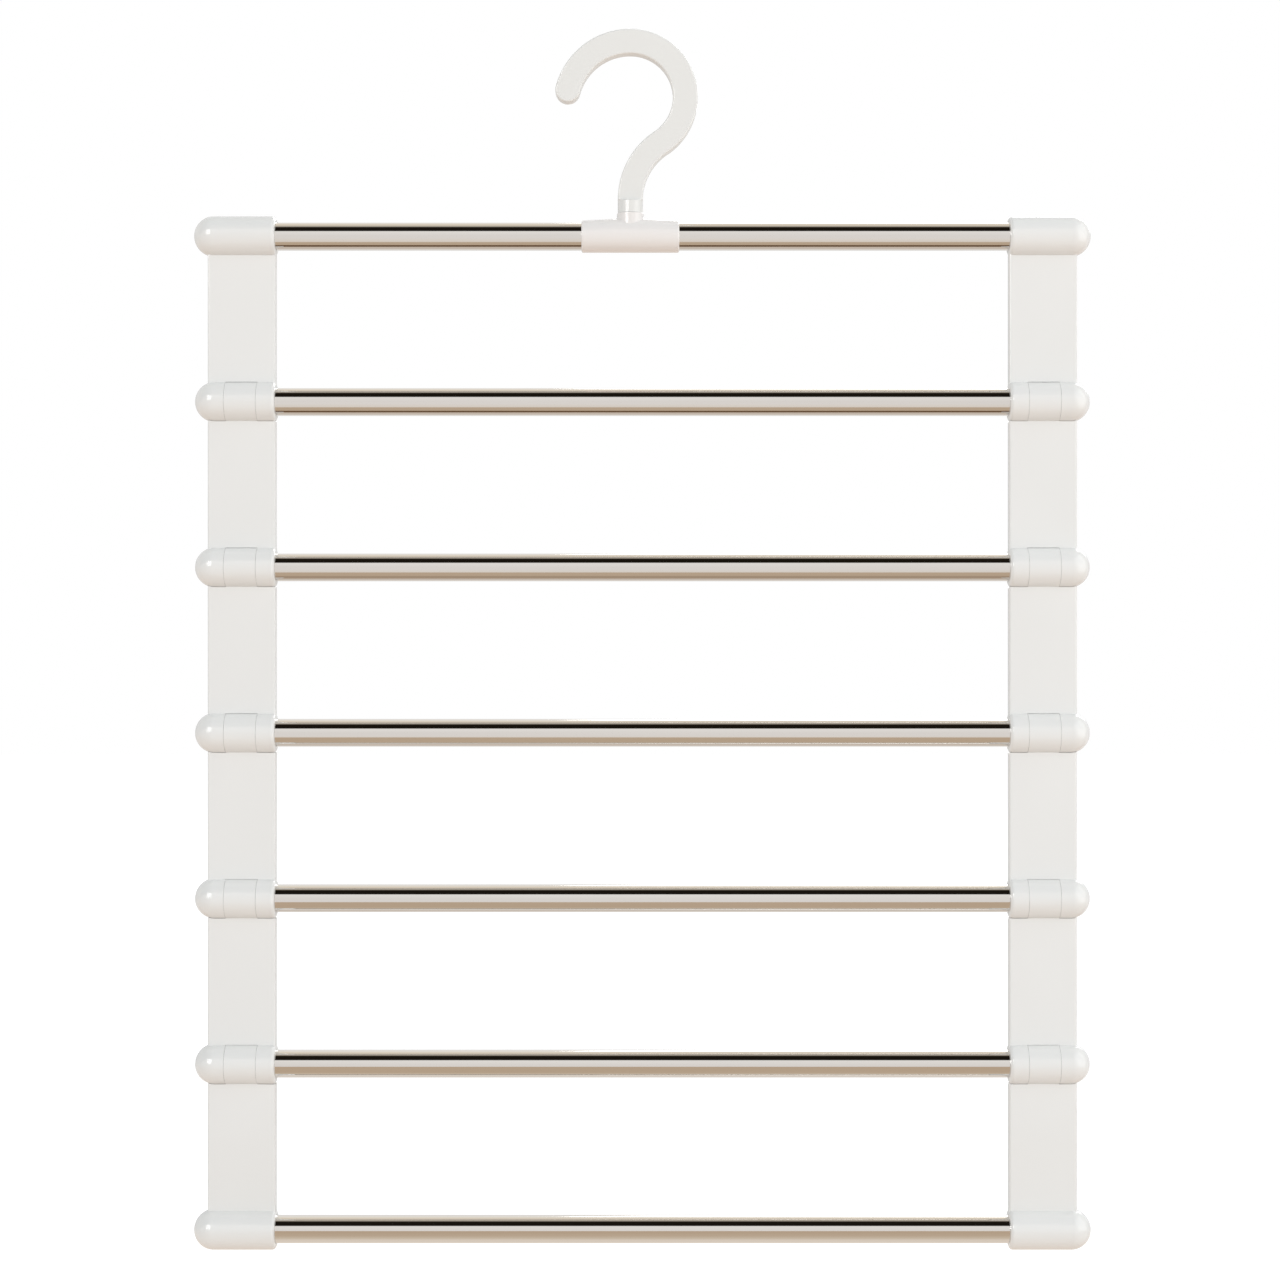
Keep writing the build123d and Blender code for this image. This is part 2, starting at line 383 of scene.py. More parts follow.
def softened(corners):
    """The points of an outline whose corners, given as (x, y, radius), are rounded over."""
    points = []
    for index, (x, y, radius) in enumerate(corners):
        corner = Vector((x, y))
        if not radius:
            points.append(corner)
            continue
        before = Vector(corners[index - 1][:2]) - corner
        after = Vector(corners[(index + 1) % len(corners)][:2]) - corner
        before.normalize()
        after.normalize()
        half_opening = before.angle(after) / 2
        centre = corner + (before + after).normalized() * radius / math.sin(half_opening)
        start = corner + before * radius / math.tan(half_opening) - centre
        end = corner + after * radius / math.tan(half_opening) - centre
        turn = start.angle_signed(end)
        steps = max(3, math.ceil(abs(turn) * radius / arc_step))
        for step in range(steps + 1):
            turned = Matrix.Rotation(-turn * step / steps, 2) @ start
            points.append(centre + turned)
    kept = [points[0]]
    for point in points[1:]:
        if (point - kept[-1]).length > 2 * tolerance:
            kept.append(point)
    if (kept[0] - kept[-1]).length < 2 * tolerance:
        kept.pop()
    return kept


# %% A lathe
lathe_facets = 96


def lathe(name, corners):
    """A closed solid turned about the X axis from corners of (x, distance, radius)."""
    shape = bmesh.new()
    rings = []
    for x, distance in softened(corners):
        if distance < tolerance:
            rings.append([shape.verts.new((x, 0, 0))])
            continue
        ring = []
        for facet in range(lathe_facets):
            angle = 2 * math.pi * (facet + 0.5) / lathe_facets
            ring.append(shape.verts.new((x, distance * math.sin(angle), distance * math.cos(angle))))
        rings.append(ring)
    for ring, following in zip(rings, rings[1:] + rings[:1]):
        for facet in range(lathe_facets):
            corner_verts = [
                ring[facet % len(ring)],
                ring[(facet + 1) % len(ring)],
                following[(facet + 1) % len(following)],
                following[facet % len(following)],
            ]
            distinct = list(dict.fromkeys(corner_verts))
            if len(distinct) > 2:
                shape.faces.new(distinct)
    bmesh.ops.recalc_face_normals(shape, faces=shape.faces)
    return as_object(shape, name)


def as_object(shape, name):
    """Turns a bmesh into an object, and frees it."""
    mesh = bpy.data.meshes.new(name)
    shape.to_mesh(mesh)
    shape.free()
    made = bpy.data.objects.new(name, mesh)
    bpy.context.scene.collection.objects.link(made)
    return made


# %% [markdown]
# ## The side mouldings
#
# A side moulding is a plate with turned knuckles at both ends. It could be one long modelled
# mesh, but real mouldings are designed as solids that are joined and cut, and so are these:
# the plate is trimmed round its neighbour's knuckles, its own knuckles are joined on, and
# the pockets are cut from behind. Exact booleans of clean solids keep every edge radius.
# Three kinds are made once, for the right side, and then copied down and mirrored across.

# %% Sizes of a side moulding
edge_round = 0.25 * MM
edge_steps = 3
seam_round = 0.06 * MM
face_round = 1.5 * MM
glued_hole = tube_radius + 0.03 * MM
running_hole = tube_radius + 0.08 * MM
hole_end = inner_face + 28.0 * MM
first_gap = inner_face + 7.8 * MM
eye_length = 13.6 * MM
side_play = 0.08 * MM
second_gap = first_gap + eye_length + 2 * side_play
swing_radius = barrel_radius + 0.15 * MM
weld_depth = 1.5 * MM
weld_inset = 0.03 * MM
plate_width = 29.3 * MM
plate_thickness = 5.2 * MM
plate_round = 0.8 * MM
hole_end_round = 0.3 * MM
overrun = 1 * MM
print(f"the eye is {eye_length / MM:.1f} mm long, between knuckles with {side_play / MM:.2f} mm of play")


# %% Knuckles
def domed_barrel(name, start, start_round, tip):
    """A barrel that is open at its start, where the tube is glued in, with a domed end."""
    return lathe(name, [
        (hole_end, 0, 0),
        (hole_end, glued_hole, hole_end_round),
        (start, glued_hole, seam_round),
        (start, barrel_radius, start_round),
        (tip, barrel_radius, barrel_radius),
        (tip, 0, 0),
    ])


def open_ring(name, start, end, hole, start_round):
    """A knuckle that is open at both ends."""
    return lathe(name, [
        (start, hole, seam_round),
        (start, barrel_radius, start_round),
        (end, barrel_radius, seam_round),
        (end, hole, seam_round),
    ])


def closed_end():
    """The whole barrel at the top or the bottom of the rack."""
    return [domed_barrel("closed_barrel", inner_face, face_round, closed_tip)]


def fork_end():
    """Two knuckles with room between them for the next tier's eye."""
    return [
        open_ring("inner_knuckle", inner_face, first_gap, glued_hole, face_round),
        domed_barrel("outer_knuckle", second_gap, seam_round, knuckle_tip),
    ]


def eye_end():
    """The knuckle that turns on the tube, between the two of the tier above."""
    return [open_ring("eye", first_gap + side_play, second_gap - side_play, running_hole,
                      seam_round)]


# %% Room round the knuckles
past_plate = inner_face + plate_width + 2 * overrun
before_plate = inner_face - overrun
weld_radius = barrel_radius - weld_depth


def closed_room():
    """Keeps the plate out of the barrel's hole."""
    return lathe("closed_room", [
        (before_plate, 0, 0),
        (before_plate, weld_radius, 0),
        (past_plate, weld_radius, 0),
        (past_plate, 0, 0),
    ])


def fork_room():
    """Trims the plate between its own two knuckles, where the next tier's eye turns."""
    return lathe("fork_room", [
        (before_plate, 0, 0),
        (before_plate, weld_radius, 0),
        (first_gap - weld_inset, weld_radius, 0),
        (first_gap - weld_inset, swing_radius, 0),
        (second_gap + weld_inset, swing_radius, 0),
        (second_gap + weld_inset, weld_radius, 0),
        (past_plate, weld_radius, 0),
        (past_plate, 0, 0),
    ])


def eye_room():
    """Trims the plate beside its eye, where the two knuckles of the tier above turn."""
    tip = knuckle_tip + swing_radius - barrel_radius
    return lathe("eye_room", [
        (before_plate, 0, 0),
        (before_plate, swing_radius, 0),
        (first_gap + side_play + weld_inset, swing_radius, 0),
        (first_gap + side_play + weld_inset, weld_radius, 0),
        (second_gap - side_play - weld_inset, weld_radius, 0),
        (second_gap - side_play - weld_inset, swing_radius, 0),
        (tip, swing_radius, swing_radius),
        (tip, 0, 0),
    ])


# %% The plate
def extruded(name, corners, levels, turn):
    """A closed solid: an outline at each level, given as (level, inset), turned into place."""
    shape = bmesh.new()
    outline = softened(corners)
    middle = sum(outline, Vector((0, 0))) / len(outline)
    rings = []
    for level, inset in levels:
        ring = []
        for index, point in enumerate(outline):
            along = outline[(index + 1) % len(outline)] - outline[index - 1]
            inward = Vector((-along.y, along.x)).normalized()
            if inward.dot(middle - point) < 0:
                inward.negate()
            moved = point + inward * inset
            ring.append(shape.verts.new(turn @ Vector((moved.x, moved.y, level))))
        rings.append(ring)
    for ring, following in zip(rings, rings[1:]):
        for index in range(len(ring)):
            after = (index + 1) % len(ring)
            shape.faces.new((ring[index], ring[after], following[after], following[index]))
    shape.faces.new(rings[0])
    shape.faces.new(rings[-1])
    bmesh.ops.recalc_face_normals(shape, faces=shape.faces)
    return as_object(shape, name)


def rectangle(low_x, high_x, low_y, high_y, radius):
    """The corners of a rectangle, all with one radius."""
    return [
        (low_x, low_y, radius),
        (high_x, low_y, radius),
        (high_x, high_y, radius),
        (low_x, high_y, radius),
    ]


def plate():
    """The flat plate from one tube's axis down to the next."""
    corners = rectangle(inner_face + weld_inset, inner_face + plate_width,
                        -plate_thickness / 2, plate_thickness / 2, plate_round)
    return extruded("plate", corners, [(0, 0), (-bar_pitch, 0)], Matrix.Identity(4))


# %% [markdown]
# ### What repeats on the back
#
# The back is cored out to a thin skin, in three pockets one above another, with two small
# round marks in each where the ejector pins pushed the moulding out. The pocket and the pin
# are made once. A node tree sets copies of them out in rows and columns, and the result
# cuts the plate.

# %% Rows and columns
def lattice_tree():
    """Copies of the object's own mesh, in rows down Z and columns along X."""
    tree = new_tree("rows_and_columns", [
        ("Rows", "NodeSocketInt"),
        ("Row Step", "NodeSocketFloat"),
        ("Columns", "NodeSocketInt"),
        ("Column Step", "NodeSocketFloat"),
        ("Material", "NodeSocketMaterial"),
    ])
    given = tree.nodes.new("NodeGroupInput").outputs
    result = tree.nodes.new("NodeGroupOutput")
    shape = given["Geometry"]
    for count, step, axis in (("Rows", "Row Step", "Z"), ("Columns", "Column Step", "X")):
        offset = wired(tree, "ShaderNodeCombineXYZ", **{axis: given[step]})
        line = wired(tree, "GeometryNodeMeshLine", {"mode": "OFFSET"}, Count=given[count],
                     Offset=offset.outputs[0])
        copies = wired(tree, "GeometryNodeInstanceOnPoints", Points=line.outputs["Mesh"],
                       Instance=shape)
        shape = copies.outputs["Instances"]
    real = wired(tree, "GeometryNodeRealizeInstances", Geometry=shape)
    dressed = wired(tree, "GeometryNodeSetMaterial", Geometry=real.outputs["Geometry"],
                    Material=given["Material"])
    tree.links.new(dressed.outputs["Geometry"], result.inputs["Geometry"])
    return tree


rows_and_columns = lattice_tree()


def repeated(builder, rows, row_step, columns, column_step):
    """Sets an object out in rows and columns, as one mesh."""
    modifier = builder.modifiers.new("repeat", "NODES")
    modifier.node_group = rows_and_columns
    set_inputs(modifier, {
        "Rows": rows,
        "Row Step": row_step,
        "Columns": columns,
        "Column Step": column_step,
        "Material": link_plastic,
    })
    return settled(builder, builder.name.replace("one_", "all_"))


# %% Pockets and pin marks
plate_wall = 1.8 * MM
plate_skin = 1.8 * MM
rib = 1.4 * MM
pocket_rows = 3
pocket_corner = 1.2 * MM
pocket_floor_round = 0.5 * MM
pocket_floor_steps = 4
pin_radius = 1.5 * MM
pin_depth = 0.1 * MM
pin_spread = 15.0 * MM
pocket_floor = plate_skin - plate_thickness / 2
pocket_rim = plate_thickness / 2 + 2 * tolerance
facing_back = Matrix.Rotation(math.pi / 2, 4, "X")


def quarter(radius, steps):
    """Distances across and along a quarter round, from its start to its end."""
    return [
        (radius * (1 - math.cos(math.pi / 2 * step / steps)),
         radius * (1 - math.sin(math.pi / 2 * step / steps)))
        for step in range(steps + 1)
    ]


cored_top = -(swing_radius + plate_wall)
cored_height = bar_pitch + 2 * cored_top
pocket_height = (cored_height - (pocket_rows - 1) * rib) / pocket_rows
pocket_step = pocket_height + rib
print(f"each of the {pocket_rows} pockets is {pocket_height / MM:.1f} mm high")


def pockets():
    """The pockets, each with a rounded floor, and a rounded rim a hair past the back face."""
    floor_curve = quarter(pocket_floor_round, pocket_floor_steps)
    levels = [(-(pocket_floor + up), inset) for up, inset in floor_curve]
    levels += [(-(pocket_rim - up), -out) for out, up in quarter(edge_round, edge_steps)]
    levels.append((-(pocket_rim + overrun), -edge_round))
    corners = rectangle(inner_face + plate_wall, inner_face + plate_width - plate_wall,
                        cored_top - pocket_height, cored_top, pocket_corner)
    one = extruded("one_pocket", corners, levels, facing_back)
    return repeated(one, pocket_rows, -pocket_step, 1, 0)


def pin_marks():
    """The marks of the ejector pins on the floors of the pockets."""
    middle_x = inner_face + plate_width / 2
    middle_z = cored_top - pocket_height / 2
    corners = rectangle(middle_x - pin_spread / 2 - pin_radius,
                        middle_x - pin_spread / 2 + pin_radius,
                        middle_z - pin_radius, middle_z + pin_radius, pin_radius)
    levels = [(-(pocket_floor - pin_depth), 0), (-(pocket_floor + pin_depth), 0)]
    one = extruded("one_pin", corners, levels, facing_back)
    return repeated(one, pocket_rows, -pocket_step, 2, pin_spread)


# %% Join and cut
def carved(base, steps):
    """Applies exact booleans in turn, given as (object, operation)."""
    for other, operation in steps:
        modifier = base.modifiers.new("carve", "BOOLEAN")
        modifier.solver = "EXACT"
        modifier.operation = operation
        modifier.object = other
    made = settled(base, base.name)
    for other, _ in steps:
        bpy.data.objects.remove(other)
    return made


def lowered(objects, drop):
    """Moves knuckles down to the lower tube."""
    for each in objects:
        each.data.transform(Matrix.Translation((0, 0, -drop)))
    return objects


def moulding(name, upper_room, upper_end, lower_room, lower_end):
    """One kind of side moulding, on the right, with the upper tube's axis at the origin."""
    base = plate()
    base.name = name
    steps = [(upper_room(), "DIFFERENCE")]
    steps += [(room, "DIFFERENCE") for room in lowered([lower_room()], bar_pitch)]
    steps += [(knuckle, "UNION") for knuckle in upper_end()]
    steps += [(knuckle, "UNION") for knuckle in lowered(lower_end(), bar_pitch)]
    steps += [(pockets(), "DIFFERENCE"), (pin_marks(), "DIFFERENCE")]
    made = carved(base, steps)
    shape = bmesh.new()
    shape.from_mesh(made.data)
    bmesh.ops.remove_doubles(shape, verts=shape.verts, dist=tolerance)
    loose = sum(1 for edge in shape.edges if not edge.is_manifold)
    print(name, "faces", len(shape.faces), "open edges", loose)
    shape.to_mesh(made.data)
    shape.free()
    return made


kinds = {
    "top": moulding("top_kind", closed_room, closed_end, fork_room, fork_end),
    "middle": moulding("middle_kind", eye_room, eye_end, fork_room, fork_end),
    "bottom": moulding("bottom_kind", eye_room, eye_end, closed_room, closed_end),
}

# %% Copy the mouldings down the rack and across it
smooth_below = math.radians(35)


def finished(piece, material):
    """Smooth shading that keeps flats flat and edges crisp, and the material."""
    mesh = piece.data
    mesh.materials.clear()
    mesh.materials.append(material)
    for face in mesh.polygons:
        face.use_smooth = True
    mesh.set_sharp_from_angle(angle=smooth_below)
    normals = piece.modifiers.new("normals", "WEIGHTED_NORMAL")
    normals.keep_sharp = True
    name = piece.name
    piece.name = name + "_builder"
    return settled(piece, name)


def hung(kind, side, upper_bar, node):
    """A copy of one kind of moulding, on its side and under its tube."""
    mesh = kinds[kind].data.copy()
    place = Matrix.Translation((rack_middle, 0, bar_height(upper_bar)))
    mesh.transform(place @ Matrix.Diagonal((side, 1, 1, 1)))
    if side < 0:
        mesh.flip_normals()
    piece = bpy.data.objects.new(node.replace("link", "side_moulding"), mesh)
    bpy.context.scene.collection.objects.link(piece)
    piece = finished(piece, link_plastic)
    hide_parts(node)
    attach(piece, body_of[node])


for side, side_name in ((1, "right"), (-1, "left")):
    hung("top", side, 1, f"top_link_{side_name}")
    for tier in range(2, len(bar_names) - 1):
        hung("middle", side, tier, f"middle_link_{side_name}_{tier - 1}")
    hung("bottom", side, len(bar_names) - 1, f"bottom_link_{side_name}")
for kind in kinds.values():
    bpy.data.objects.remove(kind)

# %% [markdown]
# ## The hook
#
# The hook is drawn, not turned: one outline is carried along three arcs, and it changes on
# the way from a round stem to a flat bar with rounded edges. Every station has the same
# number of points in the same order, so the skin between two stations is all four-sided
# faces, which is what smooth reflections need.

# %% Sizes of the hook
hook_width = 10.8 * MM
hook_thickness = 6.5 * MM
hook_round = 0.8 * MM
crook_radius = 23.7 * MM
neck_radius = 29.5 * MM
arm_radius = 27.9 * MM
arm_sweep = math.radians(75.3)
stem_width = 10.9 * MM
stem_corner = 0.99 * stem_width / 2
stem_blend = 0.8 * MM
foot_round = 0.1 * MM
stem_ease = 0.16
boss_height = 9.8 * MM
post_play = 0.08 * MM
post_radius = 2.8 * MM
post_straight = 2.6 * MM
bead_radius = 3.3 * MM
bead_slope = 0.5 * MM
bead_land = 0.6 * MM
post_tip_radius = 2.4 * MM
post_tip_length = 1.5 * MM
neck_drop = math.sqrt((neck_radius + crook_radius) ** 2 - neck_radius ** 2)
neck_turn = math.atan2(neck_drop, neck_radius)
stem_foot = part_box("hook")[0].z
station_step = 0.7 * MM
corner_steps = 9
print(f"the hook's neck turns {math.degrees(neck_turn):.1f} degrees")


# %% A section with the same count of points everywhere
def section(width, depth, radius):
    """Points round a rounded rectangle: its corners, and the middle of each side."""
    points = []
    quadrants = ((1, 1), (-1, 1), (-1, -1), (1, -1))
    for quadrant, (across, along) in enumerate(quadrants):
        centre = Vector((across * (width / 2 - radius), along * (depth / 2 - radius)))
        for step in range(corner_steps + 1):
            angle = math.pi / 2 * (quadrant + step / corner_steps)
            points.append(centre + radius * Vector((math.cos(angle), math.sin(angle))))
        side = math.pi / 2 * (quadrant + 1)
        points.append(Vector((width / 2 * math.cos(side), depth / 2 * math.sin(side))))
    return points


def eased(share):
    """A straight ramp from 0 to 1 whose two bends are rounded."""
    if share < stem_ease:
        return share ** 2 / (2 * stem_ease * (1 - stem_ease))
    if share > 1 - stem_ease:
        return 1 - (1 - share) ** 2 / (2 * stem_ease * (1 - stem_ease))
    return (share - stem_ease / 2) / (1 - stem_ease)


stem_section = section(stem_width, stem_width, stem_corner)
band_section = section(hook_width, hook_thickness, hook_round)
hole_section = [point.normalized() for point in stem_section]
print("points in a section:", len(stem_section))


# %% Stations along the hook
def along_arc(centre_x, centre_z, radius, start, turn):
    """Places and headings along an arc in the XZ plane, counted anticlockwise."""
    steps = max(2, math.ceil(abs(turn) * radius / station_step))
    for step in range(1, steps + 1):
        angle = start + turn * step / steps
        place = Vector((centre_x + radius * math.cos(angle), 0, centre_z + radius * math.sin(angle)))
        heading = Vector((-math.sin(angle), 0, math.cos(angle))) * math.copysign(1, turn)
        yield place, heading


def hook_stations():
    """Outlines with their places and headings, from the hole's top, out, and up to the tip."""
    up = Vector((0, 0, 1))
    post_top = bar_height(1) + boss_height + post_straight
    bead_start = post_top + bead_slope
    bead_end = bead_start + bead_land
    post_shape = [
        (bead_end + post_tip_length + post_play, post_tip_radius),
        (bead_end, bead_radius),
        (bead_start, bead_radius),
        (post_top, post_radius),
        (stem_foot + foot_round, post_radius),
        (stem_foot, post_radius + foot_round),
    ]
    for height, radius in post_shape:
        hole = [point * (radius + post_play) for point in hole_section]
        yield hole, Vector((0, 0, height)), up
    for rise, inset in quarter(foot_round, edge_steps):
        shrink = 1 - 2 * inset / stem_width
        place = Vector((0, 0, stem_foot + rise))
        yield [point * shrink for point in stem_section], place, up
    flat_start = -neck_drop
    blend_steps = 20
    for step in range(blend_steps + 1):
        share = step / blend_steps
        mixed = [a.lerp(b, eased(share)) for a, b in zip(stem_section, band_section)]
        yield mixed, Vector((0, 0, flat_start - stem_blend * (1 - share))), up
    arcs = [
        (neck_radius, flat_start, neck_radius, math.pi, -neck_turn),
        (0, 0, crook_radius, -neck_turn, math.pi / 2 + neck_turn),
        (0, crook_radius - arm_radius, arm_radius, math.pi / 2, arm_sweep),
    ]
    for arc in arcs:
        for place, heading in along_arc(*arc):
            yield band_section, place, heading


# %% Skin the hook
tip_steps = 18


def skinned(shape, first, second):
    """Joins two rings of points with faces, and leaves out what has no width."""
    for index in range(len(first) - 1):
        corners = [first[index], first[index + 1], second[index + 1], second[index]]
        distinct = list(dict.fromkeys(corners))
        if len(distinct) > 2:
            shape.faces.new(distinct)


def hook_piece():
    """The whole hook as one skin, with the hole for the post at one end and a round tip."""
    shape = bmesh.new()
    rings = []
    for outline, place, heading in hook_stations():
        across = Vector((heading.z, 0, -heading.x))
        ring = [shape.verts.new(place + across * point.x + Vector((0, point.y, 0)))
                for point in outline]
        rings.append(ring + ring[:1])
    shape.faces.new(rings[0][:-1])
    for first, second in zip(rings, rings[1:]):
        skinned(shape, first, second)
    # The tip is the section's outer half, swung round the line through the middles of its
    # front and its back until it meets the inner half.
    count = len(outline)
    start = 3 * (corner_steps + 2) - 1
    half = count // 2 + 1
    outer = [(start + step) % count for step in range(half)]
    inner = [(start - step) % count for step in range(half)]
    last = rings[-1]
    before = [last[index] for index in outer]
    for step in range(1, tip_steps + 1):
        turn = math.pi * step / tip_steps
        direction = across * math.cos(turn) + heading * math.sin(turn)
        if step == tip_steps:
            after = [last[index] for index in inner]
        else:
            after = [last[outer[0]]]
            for index in outer[1:-1]:
                point = outline[index]
                spun = place + direction * point.x + Vector((0, point.y, 0))
                after.append(shape.verts.new(spun))
            after.append(last[outer[-1]])
        skinned(shape, before, after)
        before = after
    bmesh.ops.recalc_face_normals(shape, faces=shape.faces)
    loose = sum(1 for edge in shape.edges if not edge.is_manifold)
    print("hook faces", len(shape.faces), "open edges", loose)
    return as_object(shape, "flat_hook")


hook = finished(hook_piece(), hook_plastic)
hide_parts("hook")
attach(hook, body_of["hook"])

# %% [markdown]
# ## The saddle
#
# The saddle's shape is right as it comes from the engineer: a sleeve that swells towards its
# boss, with a split post on top that snaps into the hook. It stays, and only gets its
# plastic.

# %% Dress the saddle
saddle = frame["nodes"]["saddle"]
saddle.data.materials.clear()
saddle.data.materials.append(saddle_plastic)
print("the saddle keeps its", len(saddle.data.polygons), "faces")

# %% [markdown]
# ## Floor and air
#
# The rack hangs in white space. The floor is a large pale sheet well below it that takes a
# soft shadow, and both floor and air are white where the camera sees them directly. The light
# that the floor would throw back comes from the world instead, where its tint can be set.

# %% The floor
floor_gap = 110 * MM
floor_size = 14.0
floor_glow_share = 0.8


def mixed_shaders(tree, share, first, second):
    """Two shaders mixed by the second one's share, which is a number or a linked value."""
    mix = tree.nodes.new("ShaderNodeMixShader")
    if isinstance(share, float):
        mix.inputs["Fac"].default_value = share
    else:
        tree.links.new(share, mix.inputs["Fac"])
    tree.links.new(first, mix.inputs[1])
    tree.links.new(second, mix.inputs[2])
    return mix.outputs["Shader"]


def pale_floor_material():
    """A matt white floor that also glows, so that it is never grey to the camera."""
    material, tree, surface, _ = bare_material("pale_floor")
    matt = tree.nodes.new("ShaderNodeBsdfPrincipled")
    matt.inputs["Base Color"].default_value = (0.95, 0.95, 0.95, 1)
    matt.inputs["Roughness"].default_value = 0.9
    matt.inputs["Specular IOR Level"].default_value = 0.0
    glow = tree.nodes.new("ShaderNodeEmission")
    glow.inputs["Strength"].default_value = 1.2
    mixed = mixed_shaders(tree, floor_glow_share, matt.outputs["BSDF"], glow.outputs["Emission"])
    tree.links.new(mixed, surface)
    return material


def stage_sheet(name, low, high, height, material):
    """A flat sheet for the stage, from one corner to the other."""
    mesh = bpy.data.meshes.new(name)
    corners = [(low[0], low[1]), (high[0], low[1]), (high[0], high[1]), (low[0], high[1])]
    mesh.from_pydata([(x, y, height) for x, y in corners], [], [(0, 1, 2, 3)])
    mesh.materials.append(material)
    sheet = bpy.data.objects.new(name, mesh)
    bpy.context.scene.collection.objects.link(sheet)
    return sheet


reach = floor_size / 2
floor = stage_sheet("floor", (-reach, -reach), (reach, reach), cad_box[0].z - floor_gap,
                    pale_floor_material())
floor.visible_glossy = False
floor.visible_diffuse = False
floor.visible_shadow = False
print("floor", floor_size, "m square,", floor_gap / MM, "mm below the rack")

# %% [markdown]
# ## What the steel sees
#
# Mirror steel has no colour of its own: a tube shows the room, squeezed into stripes. Each
# stripe's height on the tube says how high in the room its source stands, so the room can be
# read back from them: bright in front, a black band from forty to seventy degrees above the
# front, warm white overhead and behind. The world paints those bands by direction, and only
# glossy rays see them. The camera sees white, and matt surfaces see a plain even light.
#
# Some stripes change from tube to tube, so what they show is near. The tan at the bottom
# starts right below the middle of the lowest tube, and only near the lower edge of the
# highest: it is a board that lies just under the rack and ends a third of a metre in front.
# The three upper tubes also have a dark line where they look straight down. Narrow dark cards hung
# close under them, seen only by the steel, paint that line in as a painted reflection, and are clear
# from below, where the next tubes would see them.

# %% The bands round the rack
# Degrees up from the front, over the top to 180 at the back, and under the floor to -180.
room_bands = [
    (-180, (0.75, 0.74, 0.73)),
    (-166, (0.75, 0.74, 0.73)),
    (-158, (1.0, 0.96, 0.92)),
    (-148, (1.0, 0.95, 0.90)),
    (-134, (0.76, 0.69, 0.62)),
    (-116, (0.72, 0.63, 0.55)),
    (-100, (0.72, 0.59, 0.48)),
    (-60, (0.86, 0.76, 0.66)),
    (-44, (0.90, 0.83, 0.76)),
    (-33, (0.92, 0.86, 0.80)),
    (-18, (0.93, 0.89, 0.86)),
    (0, (0.93, 0.89, 0.86)),
    (20, (0.97, 0.94, 0.91)),
    (30, (1.0, 0.97, 0.94)),
    (36, (0.88, 0.85, 0.82)),
    (39, (0.012, 0.009, 0.006)),
    (71, (0.012, 0.009, 0.006)),
    (76, (0.08, 0.065, 0.05)),
    (80, (0.32, 0.28, 0.23)),
    (86, (0.60, 0.55, 0.47)),
    (95, (0.82, 0.73, 0.60)),
    (108, (0.90, 0.80, 0.66)),
    (120, (1.0, 0.93, 0.82)),
    (132, (1.0, 0.96, 0.90)),
    (158, (1.0, 0.97, 0.94)),
    (166, (0.75, 0.74, 0.73)),
    (180, (0.75, 0.74, 0.73)),
]
print("stops round the rack:", len(room_bands))


# %% The light that matt surfaces get
# How far up a direction points, from -1 for straight down to 1 for straight up.
light_levels = [
    (-1.0, (0.80, 0.61, 0.47)),
    (-0.5, (0.58, 0.54, 0.515)),
    (0.0, (0.40, 0.415, 0.43)),
    (1.0, (0.24, 0.26, 0.28)),
]
strength_in_front = 1.15
strength_behind = 1.2
print("stops from floor to ceiling:", len(light_levels))


# %% Colours by direction
def colour_by(tree, value, stops):
    """A colour that follows a value through stops, given as (value, colour)."""
    low = stops[0][0]
    high = stops[-1][0]
    ramp = tree.nodes.new("ShaderNodeValToRGB")
    tree.links.new(spread(tree, value, 0, 1, low, high), ramp.inputs["Fac"])
    elements = ramp.color_ramp.elements
    elements[0].color = (*stops[0][1], 1)
    elements[1].color = (*stops[-1][1], 1)
    for level, colour in stops[1:-1]:
        elements.new((level - low) / (high - low)).color = (*colour, 1)
    return ramp.outputs["Color"]


def room_colours(tree, direction):
    """The colour of the room in a direction, from its bands."""
    parts = parts_of(tree, direction)
    forward = calculated(tree, "MULTIPLY", parts["Y"], -1)
    rise = calculated(tree, "DEGREES", calculated(tree, "ARCTAN2", parts["Z"], forward))
    return colour_by(tree, rise, room_bands)


def even_light(tree, direction):
    """The plain light on matt surfaces, and its strength from the front to the back."""
    parts = parts_of(tree, direction)
    strength = spread(tree, parts["Y"], strength_in_front, strength_behind, -1, 1)
    return colour_by(tree, parts["Z"], light_levels), strength


# %% A card that only the steel sees
def card(name, front, back, width, height, stops):
    """A level card with its colours from front to back, which is clear from below."""
    material, tree, surface, place = bare_material(name)
    glow = tree.nodes.new("ShaderNodeEmission")
    tree.links.new(colour_by(tree, parts_of(tree, place)["Y"], stops), glow.inputs["Color"])
    clear = tree.nodes.new("ShaderNodeBsdfTransparent")
    below = tree.nodes.new("ShaderNodeNewGeometry").outputs["Backfacing"]
    mixed = mixed_shaders(tree, below, glow.outputs["Emission"], clear.outputs["BSDF"])
    tree.links.new(mixed, surface)
    sheet = stage_sheet(name, (rack_middle - width / 2, front), (rack_middle + width / 2, back),
                        height, material)
    sheet.visible_camera = False
    sheet.visible_diffuse = False
    sheet.visible_shadow = False


# %% The tan board
board_drop = 20 * MM
board_width = 1200 * MM
board_front = -320 * MM
board_back = 60 * MM
board_colours = [
    (board_front, (0.62, 0.48, 0.35)),
    (-60 * MM, (0.61, 0.47, 0.34)),
    (-25 * MM, (0.64, 0.505, 0.375)),
    (-12 * MM, (0.75, 0.63, 0.50)),
    (-5 * MM, (0.90, 0.79, 0.68)),
    (board_back, (0.95, 0.88, 0.82)),
]
card("tan_board", board_front, board_back, board_width,
     bar_height(len(bar_names)) - board_drop, board_colours)
print("the board lies", board_drop / MM, "mm below the lowest tube's axis")
